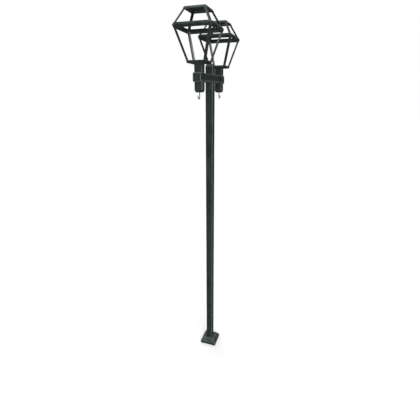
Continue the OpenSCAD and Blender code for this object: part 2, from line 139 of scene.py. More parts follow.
# Tubes welded to the arm: the weld's name, its place along the arm, the arm's face and how it lies
ARM_WELDS = (
    ("post_weld", 0, ARM_FOOT, UPSIDE_DOWN),
    ("head_weld", 0, ARM_TOP, UPRIGHT),
    ("stem_left_weld", -STEM_X, ARM_TOP, UPRIGHT),
    ("stem_right_weld", STEM_X, ARM_TOP, UPRIGHT),
    ("drop_left_weld", -STEM_X, ARM_FOOT, UPSIDE_DOWN),
    ("drop_right_weld", STEM_X, ARM_FOOT, UPSIDE_DOWN),
)

# Mitres: the two ends of each weld, each as its distance out from the lantern's middle along both
# axes and its height over the waist
MITRES = (
    ((WAIST_HALF + 2.2 * MM, 0.0),
     (WAIST_HALF - 6.9 * MM, -28.4 * MM)),
    ((WAIST_HALF + 2.2 * MM, 0.4 * MM),
     (WAIST_HALF - 11.0 * MM, 23.2 * MM)),
    ((HEAD_HALF + 14.6 * MM, ROOF_Z - WAIST_Z - 21.4 * MM),
     (HEAD_HALF + 2.0 * MM, ROOF_Z - WAIST_Z + 0.6 * MM)),
)

# Countersunk screws: diameter and length
CAP_SCREW = (6 * MM, 12 * MM)
COVER_SCREW = (8 * MM, 20 * MM)
CAP_SCREW_INSET = 20 * MM  # from the tube's end
SCREW_SUNK = 0.1 * MM
SOCKET_SHARE = 0.38  # radius of the hexagon socket, as a share of the screw's diameter

# Patterns of the paint: scale per metre, detail, roughness, and stretch where they aren't even
PATCHES = (3.2, 5.0, 0.6, (1, 1, 0.35))
STREAKS = (26.0, 4.0, 0.6, (1, 1, 0.08))
STAINS = (7.0, 5.0, 0.62, (1, 1, 0.5))
CLOUDS = (16.0, 6.0, 0.65)
CHIPS = (85.0, 5.0, 0.7)
GRAIN = (210.0, 3.0)
PEEL = (420.0, 2.0)
HIP_RUBS = (22.0, 3.0)
EDGE_WANDER = (60.0, 3.0)
BED_WANDER = (45.0, 3.0)
BED_WIDTH = 5 * MM  # how far the old bedding's edge wanders
LINE_WANDER = (30.0, 4.0)
LINE_WIDTH = 14 * MM  # how far a rubbed line wanders
ZINC_CLOUDS = (140.0, 5.0)
ZINC_GRAIN = (600.0, 3.0)

# The values of a pattern or a mask over which a layer goes from none to full
PATCH_RANGE = (0.38, 0.66)
STREAK_RANGE = (0.35, 0.7)
STAIN_RANGE = (0.54, 0.36)
DARK_RANGE = (0.52, 0.34)
LIGHT_RANGE = (0.52, 0.7)
CHIP_RANGE = (0.58, 0.66)
EDGE_RANGE = (0.03, 0.12)
# How far a face must look up for dusting and painted top light.
DUST_AND_LIGHT_RANGE = (0.15, 0.8)
INNER_RANGE = (0.5, 0.7)
ZINC_RANGE = (0.3, 0.7)

# How a pattern breaks a layer up: the two values, and the share that is left at each
RUB_SPOTS = (0.25, 0.6, 0.55, 1.0)
# Breaks up the dusting and the painted top light.
DUST_AND_LIGHT_SPOTS = (0.2, 0.7, 0.35, 0.9)
BED_SPOTS = (0.2, 0.8, 0.7, 1.0)
HIP_SPOTS = (0.4, 0.56, 0.25, 1.0)

# Strength of the layers that make the coat, and of its relief
GRIME_IN_CLOUDS = 0.55
GRIME_IN_STAINS = 0.55
FADED_IN_STREAKS = 0.5
FADED_IN_CLOUDS = 0.6
FADED_IN_PATCHES = 0.6
WEAR_LOST_IN_STAINS = 0.4
PAINT_SHEEN = 0.015
SMOOTHER, ROUGHER = 0.08, 0.12  # how far the paint's roughness goes down and up
RUBBED_ROUGHNESS = 0.85
PEEL_DEPTH = 0.06 * MM
GRAIN_DEPTH = 0.2 * MM
MOTTLE_DEPTH = 0.35 * MM
CHIP_DEPTH = -0.2 * MM
DUST_AND_LIGHT_FALL = (-0.25, 0.1, 0.96)  # dusting, dried rain and painted top light lie thickest on what looks this way

# Zinc, from its dark clouds to its light ones
ZINC_DARK, ZINC_LIGHT = (0.20, 0.205, 0.20), (0.34, 0.345, 0.34)
ZINC_ROUGH, ZINC_SMOOTH = 0.5, 0.35
ZINC_METALLIC = 0.85
ZINC_DEPTH = 0.05 * MM

# Stage
WHITE = (1.0, 1.0, 1.0)
FLOOR_GREY = (0.6, 0.6, 0.6)  # what the floor throws back at the object
FLOOR_GLOW = 0.4  # added where the floor is seen, so that it is as white as the sky
SKY_LIGHT = 0.3  # strength of the sky where it isn't seen but lights
LIGHTS = ("key", "fill", "back")
LIGHT_PLACE = (0, 0, 8)  # a sun shines alike from anywhere, so this is only where it is found
SENSOR_WIDTH = 36  # millimetres


# ---- Settings that a user changes ----


class LampPostPaint(bpy.types.PropertyGroup):
    """Colours and wear of the paint, and the colours of its painted highlights and painted light."""

    face: bpy.props.FloatVectorProperty(
        name="Paint", description="Colour of the sound paint",
        subtype="COLOR", size=3, default=(0.0245, 0.0355, 0.0295), min=0, max=1)
    grime: bpy.props.FloatVectorProperty(
        name="Grime", description="Colour of the paint where dirt has settled into it",
        subtype="COLOR", size=3, default=(0.013, 0.019, 0.016), min=0, max=1)
    # This colour also lifts the stems and drop tubes out of the shade of their trays and the arm:
    # painted light.
    pale_paint: bpy.props.FloatVectorProperty(
        name="Faded paint", description="Colour of the paint where sun and rain have dulled it",
        subtype="COLOR", size=3, default=(0.037, 0.049, 0.043), min=0, max=1)
    # This colour also paints the highlights along rounded tube corners, the cover's hips and rims,
    # and the welds.
    rubbed_and_highlit: bpy.props.FloatVectorProperty(
        name="Rubbed edges", description="Colour of the thin, chalky paint along edges and welds",
        subtype="COLOR", size=3, default=(0.172, 0.188, 0.180), min=0, max=1)
    bare: bpy.props.FloatVectorProperty(
        name="Chips", description="Colour of the primer that shows where the paint has chipped",
        subtype="COLOR", size=3, default=(0.30, 0.31, 0.30), min=0, max=1)
    # This colour also paints top light: faces that look up are made lighter as if lit from above.
    dust_and_top_light: bpy.props.FloatVectorProperty(
        name="Dust", description="Colour of the dust that settles on upward faces",
        subtype="COLOR", size=3, default=(0.175, 0.20, 0.187), min=0, max=1)
    bedding: bpy.props.FloatVectorProperty(
        name="Old bedding", description="Colour of the glazing bed left in the lower corner angles",
        subtype="COLOR", size=3, default=(0.56, 0.60, 0.58), min=0, max=1)
    # The same width holds the painted highlights along the tube corners.
    edge_width: bpy.props.FloatProperty(
        name="Edge wear width", description="How far the wear reaches from a tube's edge",
        subtype="DISTANCE", unit="LENGTH", default=9 * MM, min=0, max=0.03)
    roughness: bpy.props.FloatProperty(
        name="Roughness", description="Roughness of the sound paint", default=0.78, min=0, max=1)


class LampPostStage(bpy.types.PropertyGroup):
    """Camera, lights and floor."""

    camera_place: bpy.props.FloatVectorProperty(
        name="Camera place", description="Where the camera stands",
        subtype="TRANSLATION", unit="LENGTH", size=3, default=(-4.16157, -1.3924, 4.21162))
    camera_turn: bpy.props.FloatProperty(
        name="Camera turn", description="Heading of the camera about the vertical",
        subtype="ANGLE", unit="ROTATION", default=math.radians(-71.48))
    camera_dip: bpy.props.FloatProperty(
        name="Camera dip", description="How far the camera looks down",
        subtype="ANGLE", unit="ROTATION", default=math.radians(20.99))
    lens: bpy.props.FloatProperty(
        name="Lens", description="Focal length on a 36 mm wide sensor, in millimetres",
        default=26.21, min=5)
    key_strength: bpy.props.FloatProperty(
        name="Key light strength", description="Strength of the key light, in W/m2",
        default=0.55, min=0)
    key_spread: bpy.props.FloatProperty(
        name="Key light spread", description="How wide the key light is, which softens its shadows",
        subtype="ANGLE", unit="ROTATION", default=math.radians(32), min=0, max=math.pi)
    key_height: bpy.props.FloatProperty(
        name="Key light height", description="Height of the key light above the horizon",
        subtype="ANGLE", unit="ROTATION", default=math.radians(30))
    key_turn: bpy.props.FloatProperty(
        name="Key light turn", description="Where the key light comes from, about the vertical",
        subtype="ANGLE", unit="ROTATION", default=math.radians(-60))
    fill_strength: bpy.props.FloatProperty(
        name="Fill light strength", description="Strength of the low front light, in W/m2",
        default=1.5, min=0)
    fill_spread: bpy.props.FloatProperty(
        name="Fill light spread", description="How wide the low front light is",
        subtype="ANGLE", unit="ROTATION", default=math.radians(60), min=0, max=math.pi)
    fill_height: bpy.props.FloatProperty(
        name="Fill light height", description="Height of the low front light above the horizon",
        subtype="ANGLE", unit="ROTATION", default=math.radians(12))
    fill_turn: bpy.props.FloatProperty(
        name="Fill light turn",
        description="Where the low front light comes from, about the vertical",
        subtype="ANGLE", unit="ROTATION", default=math.radians(-60))
    back_strength: bpy.props.FloatProperty(
        name="Back light strength", description="Strength of the back light, in W/m2",
        default=1.1, min=0)
    back_spread: bpy.props.FloatProperty(
        name="Back light spread", description="How wide the back light is",
        subtype="ANGLE", unit="ROTATION", default=math.radians(60), min=0, max=math.pi)
    back_height: bpy.props.FloatProperty(
        name="Back light height", description="Height of the back light above the horizon",
        subtype="ANGLE", unit="ROTATION", default=math.radians(25))
    back_turn: bpy.props.FloatProperty(
        name="Back light turn", description="Where the back light comes from, about the vertical",
        subtype="ANGLE", unit="ROTATION", default=math.radians(135))
    floor_reach: bpy.props.FloatProperty(
        name="Floor reach", description="Half the width of the floor",
        subtype="DISTANCE", unit="LENGTH", default=60.0, min=1)


# ---- Node helpers ----


class Tree:
    """A small builder for one material's node tree."""

    def __init__(self, name):
        self.material = bpy.data.materials.new(name)
        self.material.use_nodes = True
        self.nodes = self.material.node_tree.nodes
        self.links = self.material.node_tree.links
        self.shader = self.nodes["Principled BSDF"]
        self.place = self.add("ShaderNodeTexCoord").outputs["Object"]

    def add(self, kind, **settings):
        """Adds a node and sets its own settings."""
        node = self.nodes.new(kind)
        for name, value in settings.items():
            setattr(node, name, value)
        return node

    def feed(self, socket, value):
        """Links an output to a socket, or sets a plain value on it."""
        if isinstance(value, bpy.types.NodeSocket):
            self.links.new(value, socket)
        else:
            socket.default_value = value

    def maths(self, operation, a, b=0.0):
        """One maths step."""
        node = self.add("ShaderNodeMath", operation=operation)
        self.feed(node.inputs[0], a)
        self.feed(node.inputs[1], b)
        return node.outputs[0]

    def times(self, first, *others):
        """The product of several values."""
        for other in others:
            first = self.maths("MULTIPLY", first, other)
        return first

    def most(self, first, *others):
        """The largest of several values."""
        for other in others:
            first = self.maths("MAXIMUM", first, other)
        return first

    def size(self, value):
        """A value without its sign."""
        return self.maths("ABSOLUTE", value)

    def off(self, value, at):
        """How far value is from at, either way."""
        return self.size(self.maths("SUBTRACT", value, at))

    def between(self, value, low, high, to_low=0.0, to_high=1.0, curve="SMOOTHSTEP"):
        """Maps value from low..high to to_low..to_high, with soft ends unless curve is LINEAR."""
        node = self.add("ShaderNodeMapRange", interpolation_type=curve)
        for name, number in (("Value", value), ("From Min", low), ("From Max", high),
                             ("To Min", to_low), ("To Max", to_high)):
            self.feed(node.inputs[name], number)
        return node.outputs["Result"]

    def near(self, value, at, full, gone, share=1.0):
        """share while value is within full of at, fading to 0 at gone from it."""
        return self.between(self.off(value, at), full, gone, share, 0.0)

    def blend(self, share, a, b):
        """A colour between a and b."""
        node = self.add("ShaderNodeMix", data_type="RGBA")
        self.feed(node.inputs["Factor"], share)
        for name, colour in (("A", a), ("B", b)):
            socket = [s for s in node.inputs if s.name == name and s.type == "RGBA"][0]
            given = isinstance(colour, bpy.types.NodeSocket)
            self.feed(socket, colour if given else (*colour, 1.0))
        return [s for s in node.outputs if s.type == "RGBA"][0]

    def noise(self, scale, detail, roughness=0.55, stretch=(1, 1, 1)):
        """A noise pattern in metres, stretched along an axis where stretch is under 1."""
        spread = self.add("ShaderNodeMapping")
        self.feed(spread.inputs["Vector"], self.place)
        spread.inputs["Scale"].default_value = stretch
        node = self.add("ShaderNodeTexNoise")
        self.feed(node.inputs["Vector"], spread.outputs["Vector"])
        node.inputs["Scale"].default_value = scale
        node.inputs["Detail"].default_value = detail
        node.inputs["Roughness"].default_value = roughness
        return node.outputs["Fac"]

    def wander(self, pattern, width):
        """An offset that wanders over width, half of it either way."""
        return self.times(self.maths("SUBTRACT", self.noise(*pattern), 0.5), width)

    def axes(self, mirrored=False):
        """The three coordinates, with X counted outwards from the middle if mirrored."""
        split = self.add("ShaderNodeSeparateXYZ")
        self.feed(split.inputs[0], self.place)
        x, y, z = split.outputs
        return (self.size(x) if mirrored else x), y, z

    def facing(self, way, low, high):
        """0 on faces that look less than low towards way, 1 on those that look more than high."""
        match = self.add("ShaderNodeVectorMath", operation="DOT_PRODUCT")
        self.feed(match.inputs[0], self.add("ShaderNodeNewGeometry").outputs["Normal"])
        match.inputs[1].default_value = way
        return self.between(match.outputs["Value"], low, high)

    def edges(self, radius):
        """0 on faces further than radius from any sharp edge, rising to 0.3 on a square edge."""
        rounded = self.add("ShaderNodeBevel", samples=8)
        rounded.inputs["Radius"].default_value = radius
        match = self.add("ShaderNodeVectorMath", operation="DOT_PRODUCT")
        self.feed(match.inputs[0], rounded.outputs["Normal"])
        self.feed(match.inputs[1], self.add("ShaderNodeNewGeometry").outputs["Normal"])
        return self.maths("SUBTRACT", 1.0, match.outputs["Value"])

    def box_edges(self, centre, halves, width, mirrored=False):
        """1 along a box's twelve edges, round ones included, and 0 further than width from them."""
        u, v, w = (self.maths("SUBTRACT", self.off(value, at), reach)
                   for value, at, reach in zip(self.axes(mirrored), centre, halves))
        close = self.most(*(self.maths("MINIMUM", a, b) for a, b in ((u, v), (v, w), (u, w))))
        ragged = self.wander(EDGE_WANDER, 0.5 * width)
        return self.between(self.maths("ADD", close, ragged), -width, -0.45 * width)

    def bump(self, *layers):
        """Stacks height patterns, each (pattern, depth in metres), into the shader's normal."""
        normal = None
        for pattern, depth in layers:
            node = self.add("ShaderNodeBump")
            node.inputs["Strength"].default_value = 1.0
            node.inputs["Distance"].default_value = depth
            self.feed(node.inputs["Height"], pattern)
            if normal is not None:
                self.feed(node.inputs["Normal"], normal)
            normal = node.outputs["Normal"]
        self.feed(self.shader.inputs["Normal"], normal)


# ---- Paint and steel ----


def worn_paint_and_light(name, settings, lines=None, line_share=1.0, dust_and_top_light_share=1.0, paleness=0.0, pale=None,
               edge=4 * MM):
    """Dark paint: mottled, stained, dulled, rubbed and chipped along its edges, with dusting on top,
    painted highlights along its edges and painted top light.

    lines(tree, settings) gives a mask of what is rubbed, and of the painted highlights and painted
    light, besides the sharp edges, and pale(tree) one of what still has old glazing bed on it.
    line_share and dust_and_top_light_share say how much of the rubbing and highlights and of the
    dusting and painted top light is left, paleness how much paler the paint is all over, from dulling
    and, on the stems and drop tubes, from painted light, and edge how wide a sharp edge is rubbed.
    """
    tree = Tree(name)
    clouds, chips = tree.noise(*CLOUDS), tree.noise(*CHIPS)
    patches = tree.between(tree.noise(*PATCHES), *PATCH_RANGE)
    stains = tree.between(tree.noise(*STAINS), *STAIN_RANGE)
    coat = mottled_coat(tree, settings, clouds, patches, stains, paleness)
    if pale is not None:
        bed = tree.times(pale(tree), tree.between(chips, *BED_SPOTS))
        coat = tree.blend(bed, coat, settings.bedding)
    clean = tree.maths("SUBTRACT", 1.0, tree.times(stains, WEAR_LOST_IN_STAINS))
    # Dusting on faces that look up, which also paints top light on them.
    up = tree.facing(DUST_AND_LIGHT_FALL, *DUST_AND_LIGHT_RANGE)
    dust_and_top_light_mask = tree.times(up, tree.between(chips, *DUST_AND_LIGHT_SPOTS), clean, dust_and_top_light_share)
    coat = tree.blend(dust_and_top_light_mask, coat, settings.dust_and_top_light)
    # Rubbed paint, and painted highlights along the corners, hips, rims and welds that the lines mask
    # gives.
    rub_and_highlight = tree.between(tree.edges(edge), *EDGE_RANGE)
    if lines is not None:
        rub_and_highlight = tree.most(rub_and_highlight, lines(tree, settings))
    rub_and_highlight = tree.times(rub_and_highlight, tree.between(chips, *RUB_SPOTS), clean, line_share)
    coat = tree.blend(rub_and_highlight, coat, settings.rubbed_and_highlit)
    chipped = tree.times(rub_and_highlight, tree.between(chips, *CHIP_RANGE))
    coat = tree.blend(chipped, coat, settings.bare)
    tree.feed(tree.shader.inputs["Base Color"], coat)
    smooth, rough = settings.roughness - SMOOTHER, settings.roughness + ROUGHER
    dull = tree.between(patches, 0, 1, smooth, rough)
    tree.feed(tree.shader.inputs["Roughness"], tree.between(rub_and_highlight, 0, 1, dull, RUBBED_ROUGHNESS))
    tree.shader.inputs["Specular IOR Level"].default_value = PAINT_SHEEN
    tree.bump((tree.noise(*PEEL), PEEL_DEPTH), (tree.noise(*GRAIN), GRAIN_DEPTH),
              (chips, MOTTLE_DEPTH), (chipped, CHIP_DEPTH))
    return tree.material


def mottled_coat(tree, settings, clouds, patches, stains, paleness):
    """The paint's own colour, before dust and wear."""
    dark, light = tree.between(clouds, *DARK_RANGE), tree.between(clouds, *LIGHT_RANGE)
    streaks = tree.between(tree.noise(*STREAKS), *STREAK_RANGE)
    coat = tree.blend(tree.times(dark, GRIME_IN_CLOUDS), settings.face, settings.grime)
    coat = tree.blend(tree.times(streaks, FADED_IN_STREAKS), coat, settings.pale_paint)
    coat = tree.blend(tree.times(light, FADED_IN_CLOUDS), coat, settings.pale_paint)
    # On the stems and drop tubes the share below is painted light that lifts the shade of their trays
    # and the arm.
    dulled = tree.maths("ADD", tree.times(patches, FADED_IN_PATCHES * (1 - paleness)), paleness)
    coat = tree.blend(dulled, coat, settings.pale_paint)
    return tree.blend(tree.times(stains, GRIME_IN_STAINS), coat, settings.grime)


def zinc_steel(name):
    """Dull zinc plate on bolts and nuts."""
    tree = Tree(name)
    clouds = tree.between(tree.noise(*ZINC_CLOUDS), *ZINC_RANGE)
    sheen = tree.between(clouds, 0, 1, ZINC_ROUGH, ZINC_SMOOTH)
    tree.feed(tree.shader.inputs["Base Color"], tree.blend(clouds, ZINC_DARK, ZINC_LIGHT))
    tree.feed(tree.shader.inputs["Roughness"], sheen)
    tree.shader.inputs["Metallic"].default_value = ZINC_METALLIC
    tree.bump((tree.noise(*ZINC_GRAIN), ZINC_DEPTH))
    return tree.material


# ---- Masks: where the paint is rubbed, and where old bedding is left ----


def cover_wear_and_highlights(tree, settings):
    """Rubbed paint and painted highlights on the cover's hips, the rim of its flat top and the fold
    where its slopes meet the skirt.
    """
    x, y, z = tree.axes()
    across, along = tree.size(x), tree.size(y)
    outside = tree.most(across, along)
    hip = tree.near(across, along, full=7 * MM, gone=15 * MM)
    below_top = tree.between(outside, COVER_TOP_HALF - 6 * MM, COVER_TOP_HALF)
    in_places = tree.between(tree.noise(*HIP_RUBS), *HIP_SPOTS)
    rim = tree.near(outside, COVER_TOP_HALF, full=5 * MM, gone=11 * MM)
    at_top = tree.between(z, COVER_TOP - 18 * MM, COVER_TOP - 12 * MM)
    fold = tree.near(z, COVER_SKIRT, full=1 * MM, gone=4 * MM, share=0.5)
    return tree.most(tree.times(hip, below_top, in_places), tree.times(rim, at_top), fold)


def joint_painted_light(tree, joint, reach, share):
    """Painted light: a paler stretch of a tube, reach above and below a joint at the height joint,
    that lifts the shadow the joint casts.
    """
    _, _, z = tree.axes()
    return tree.near(z, joint, full=0, gone=reach, share=share)


def post_wear_and_painted_light(tree, settings):
    """Rubbed paint and painted highlights along the post's four long edges, and painted light under
    the arm that lifts the arm's shadow.
    """
    edges = tree.box_edges((0, 0, 0), (POST_HALF, POST_HALF, ENDLESS), settings.edge_width)
    return tree.most(edges, joint_painted_light(tree, ARM_FOOT, reach=110 * MM, share=0.25))


def tube_wear_and_painted_light(tree, settings):
    """Rubbed paint and painted highlights along the long edges of stems and drop tubes, and painted
    light at the trays and the arm that lifts their shadows.
    """
    edges = tree.box_edges((STEM_X, 0, 0), (STEM_HALF, STEM_HALF, ENDLESS), settings.edge_width,
                           mirrored=True)
    return tree.most(edges, joint_painted_light(tree, TRAY_FOOT, reach=50 * MM, share=0.4),
                     joint_painted_light(tree, ARM_FOOT, reach=30 * MM, share=0.2))


def arm_wear_and_highlights(tree, settings):
    """Rubbed paint and painted highlights along the arm's edges, weaker at its foot, and the foot of
    its sides, where rain runs off.
    """
    _, y, z = tree.axes()
    edges = tree.box_edges(ARM_MIDDLE, (ARM_END, ARM_HALF.y, ARM_HALF.z), settings.edge_width)
    weaker = tree.between(z, ARM_FOOT + 4 * MM, ARM_FOOT + 20 * MM, to_low=0.55)
    side = tree.between(tree.size(y), ARM_HALF.y - 12 * MM, ARM_HALF.y - 4 * MM)
    ragged = tree.maths("ADD", z, tree.wander(LINE_WANDER, LINE_WIDTH))
    run_off = tree.between(ragged, ARM_FOOT + 17 * MM, ARM_FOOT + 33 * MM, to_low=0.4, to_high=0.0)
    return tree.most(tree.times(edges, weaker), tree.times(side, run_off))


def sheet_wear_and_highlights(tree, settings):
    """Rubbed paint and painted highlights along the tops of the trays' rims and of the roofs' skirts,
    and rubbed paint with a painted highlight along the top of the waist bands on the side of -Y.
    """
    x, y, z = tree.axes(mirrored=True)
    ragged = tree.maths("ADD", z, tree.wander(LINE_WANDER, LINE_WIDTH))
    rim = tree.near(ragged, RIM_Z, full=4 * MM, gone=8 * MM, share=0.7)
    outside = tree.most(tree.off(x, STEM_X), tree.size(y))
    skirt = tree.between(outside, HEAD_HALF - 4 * MM, HEAD_HALF - 1 * MM)
    skirt_top = tree.between(ragged, ROOF_TOP - 16 * MM, ROOF_TOP - 7 * MM)
    band_top = tree.near(ragged, RAIL_TOP, full=7 * MM, gone=13 * MM)
    highlit_side = tree.between(y, 40 * MM - WAIST_HALF, 30 * MM - WAIST_HALF)
    return tree.most(rim, tree.times(skirt, skirt_top), tree.times(band_top, highlit_side))


def all_over(tree, settings):
    """Weld beads, which are rubbed all over, their pale paint also painting a highlight along each
    seam.
    """
    return WELD_WEAR_AND_HIGHLIGHT


def old_bedding(tree):
    """The free half of the lower angles' inner faces that look along the arm, where panes lay.

    Little of it is left on the lower half of the angles on the side of -Y.
    """
    x, y, z = tree.axes(mirrored=True)
    raw_x, _, _ = tree.axes()
    normal = tree.add("ShaderNodeSeparateXYZ")
    tree.feed(normal.inputs[0], tree.add("ShaderNodeNewGeometry").outputs["Normal"])
    outwards = tree.times(normal.outputs["X"], tree.maths("SIGN", raw_x))
    inwards = tree.times(outwards, tree.maths("SIGN", tree.maths("SUBTRACT", STEM_X, x)))
    inner = tree.between(inwards, *INNER_RANGE)
    side = tree.between(z, RIM_Z, WAIST_Z, RIM_HALF, WAIST_HALF, curve="LINEAR")
    along = tree.maths("MINIMUM", tree.off(x, STEM_X), tree.size(y))
    off_corner = tree.maths("ADD", tree.maths("SUBTRACT", side, along),
                            tree.wander(BED_WANDER, BED_WIDTH))
    free_half = tree.between(off_corner, 0.25 * LOWER_LEG, 0.38 * LOWER_LEG)
    rise = tree.between(z, RIM_Z, WAIST_Z, 0, 1, curve="LINEAR")
    lee = tree.between(rise, 0.5, 0.68, to_low=0.22, to_high=0.8)
    kept = tree.between(y, -50 * MM, 50 * MM, to_low=lee)
    return tree.times(inner, free_half, kept)


# ---- Modelling helpers ----


def nothing_selected():
    """Leaves edit mode and deselects every object."""
    if bpy.context.mode != "OBJECT":
        bpy.ops.object.mode_set(mode="OBJECT")
    bpy.ops.object.select_all(action="DESELECT")


def pick(piece):
    """Selects one object alone and makes it the active one."""
    nothing_selected()
    piece.select_set(True)
    bpy.context.view_layer.objects.active = piece


def both(*stems):
    """The names of a part on the left and on the right."""
    return [f"{stem}_{side}" for side in SIDES for stem in stems]


def all_corners(*stems):
    """The names of a part that stands at each corner of both lanterns."""
    return [f"{stem}_{side}_{corner}" for side in SIDES for corner in CORNERS for stem in stems]


def paint(material, *names):
    """Gives CAD nodes a material in every slot."""
    for name in names:
        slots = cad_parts[name].data.materials
        slots.clear()
        slots.append(material)


def soften(width, *names):
    """Rounds the sharp edges of CAD nodes, as rolling, grinding and paint do."""
    for name in names:
        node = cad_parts[name]
        weld = node.modifiers.new("weld", "WELD")
        weld.merge_threshold = 0.01 * MM
        flat = node.modifiers.new("flat", "DECIMATE")
        flat.decimate_type = "DISSOLVE"
        flat.angle_limit = math.radians(0.5)
        bevel = node.modifiers.new("bevel", "BEVEL")
        bevel.width = width
        bevel.segments = 2
        bevel.limit_method = "ANGLE"
        bevel.angle_limit = math.radians(35)
        bevel.use_clamp_overlap = True
        bevel.harden_normals = True


def copy_of(model, name, place, turn=UPRIGHT):
    """A copy with its own mesh, and with its turn and its place baked into that mesh."""
    piece = model.copy()
    piece.data = model.data.copy()
    piece.name = piece.data.name = name
    bpy.context.scene.collection.objects.link(piece)
    piece.rotation_euler = turn
    piece.location = place
    pick(piece)
    bpy.ops.object.transform_apply(location=True, rotation=True, scale=True)
    return piece


def discard(*models):
    """Deletes models that only served their copies."""
    for model in models:
        pick(model)
        bpy.ops.object.delete()


def settle(piece, material):
    """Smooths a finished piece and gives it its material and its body."""
    pick(piece)
    bpy.ops.object.shade_smooth_by_angle(angle=SMOOTH_ANGLE)
    piece.data.materials.clear()
    piece.data.materials.append(material)
    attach(piece, BODY)


def joined(parts, name):
    """Several objects made one."""
    nothing_selected()
    for part in parts:
        part.select_set(True)
    bpy.context.view_layer.objects.active = parts[0]
    if len(parts) > 1:
        bpy.ops.object.join()
    whole = bpy.context.active_object
    whole.name = whole.data.name = name
    return whole


# ---- Weld beads ----


def bead(name, rows, radius, fineness=2):
    """A weld as overlapping drops laid along rows, each (start, end)."""
    made = []
    for start, end in rows:
        start, end = Vector(start), Vector(end)
        count = round((end - start).length / (DROP_STEP * radius)) + 1
        nothing_selected()
        bpy.ops.mesh.primitive_ico_sphere_add(subdivisions=fineness, radius=radius)
        drop = bpy.context.active_object
        bpy.ops.object.mode_set(mode="EDIT")
        bpy.ops.mesh.select_all(action="SELECT")
        bpy.ops.transform.translate(value=start)
        bpy.ops.object.mode_set(mode="OBJECT")
        if count > 1:
            line = drop.modifiers.new("line", "ARRAY")
            line.use_relative_offset = False
            line.use_constant_offset = True
            line.constant_offset_displace = (end - start) / (count - 1)
            line.count = count
            bpy.ops.object.modifier_apply(modifier="line")
        made.append(drop)
    return joined(made, name)


def four_ways(x, y, z):
    """A point's four mirror images about the lantern's middle."""
    return [(sx * x, sy * y, z) for sx in BOTH_WAYS for sy in BOTH_WAYS]


def tube_ring():
    """The bead where a tube meets the arm: z = 0 is the arm's face, with two round edges."""
    flat, side = ARM_HALF.y - TUBE_CORNER, ARM_HALF.y - TUBE_WELD_IN
    rows = [((way * STEM_HALF, -flat, 0), (way * STEM_HALF, flat, 0)) for way in BOTH_WAYS]
    rows += [((-STEM_HALF, way * side, -TUBE_WELD_DOWN), (STEM_HALF, way * side, -TUBE_WELD_DOWN))
             for way in BOTH_WAYS]
    return bead("tube_ring", rows, TUBE_WELD)


def end_seam():
    """The bead round an end plate: x = 0 is the seam."""
    reach, flat = ARM_HALF.y - SEAM_SUNK, ARM_HALF.y - TUBE_CORNER
    rows = [((0, -flat, way * reach), (0, flat, way * reach)) for way in BOTH_WAYS]
    rows += [((0, way * reach, -flat), (0, way * reach, flat)) for way in BOTH_WAYS]
    out = TUBE_CORNER - SEAM_SUNK
    for step in (0.25, 0.5, 0.75):
        angle = step * QUARTER_TURN
        y, z = flat + out * math.cos(angle), flat + out * math.sin(angle)
        rows += [((0, sy * y, sz * z),) * 2 for sy in BOTH_WAYS for sz in BOTH_WAYS]
    return bead("end_seam", rows, SEAM_WELD)


def tray_ring():
    """The bead between a stem and its tray: z = 0 is the tray's underside."""
    flat = STEM_HALF - TUBE_CORNER
    rows = [((way * STEM_HALF, -flat, 0), (way * STEM_HALF, flat, 0)) for way in BOTH_WAYS]
    rows += [((-flat, way * STEM_HALF, 0), (flat, way * STEM_HALF, 0)) for way in BOTH_WAYS]
    corner = flat + TUBE_CORNER * math.cos(math.pi / 4)
    rows += [(point, point) for point in four_ways(corner, corner, 0)]
    return bead("tray_ring", rows, TRAY_WELD)


def foot_beads():
    """The beads across the feet of the four lower bars: z = 0 is the tray's rim."""
    rows = []
    out, leg = RIM_HALF - FOOT_SUNK, RIM_HALF - LOWER_LEG
    for x, y, z in four_ways(1, 1, 0):
        rows.append(((x * out, y * out, z), (x * leg, y * out, z)))
        rows.append(((x * out, y * out, z), (x * out, y * leg, z)))
    return bead("foot_beads", rows, FOOT_WELD)


def mitre_beads():
    """The thin beads up the mitres of the waist band and the roof's skirts: z = 0 is the waist."""
    rows = [((x * first, y * first, first_z), (x * last, y * last, last_z))
            for (first, first_z), (last, last_z) in MITRES for x, y, _ in four_ways(1, 1, 0)]
    return bead("mitre_beads", rows, MITRE_WELD, fineness=1)


# ---- Screws ----


def screw_model(name, diameter, length):
    """A countersunk screw with a hexagon socket, sunk in the face z = 0 and looking along +Z."""
    nothing_selected()
    cone = diameter / 2
    bpy.ops.mesh.primitive_cone_add(
        vertices=32, radius1=diameter / 2, radius2=diameter, depth=cone,
        location=(0, 0, -cone / 2 - SCREW_SUNK))
    head = bpy.context.active_object
    bpy.ops.mesh.primitive_cylinder_add(
        vertices=24, radius=diameter / 2, depth=length - cone,
        location=(0, 0, -(length + cone) / 2 - SCREW_SUNK))
    shank = bpy.context.active_object
    bpy.ops.mesh.primitive_cylinder_add(
        vertices=6, radius=SOCKET_SHARE * diameter, depth=cone, location=(0, 0, -SCREW_SUNK))
    cutter = bpy.context.active_object
    pick(head)
    socket = head.modifiers.new("socket", "BOOLEAN")
    socket.operation = "DIFFERENCE"
    socket.object = cutter
    socket.solver = "EXACT"
    bpy.ops.object.modifier_apply(modifier="socket")
    discard(cutter)
    model = joined([head, shank], f"{name}_model")
    pick(model)
    bpy.ops.object.transform_apply(location=True, rotation=True, scale=True)
    return model


def screws(name, size, places, material, node):
    """Screws of a size, each at a place with its head turned from +Z, in for a CAD node."""
    model = screw_model(name, *size)
    made = [copy_of(model, name, place, turn) for place, turn in places]
    discard(model)
    whole = joined(made, name)
    settle(whole, material)
    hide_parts(node)


# ---- Stage ----


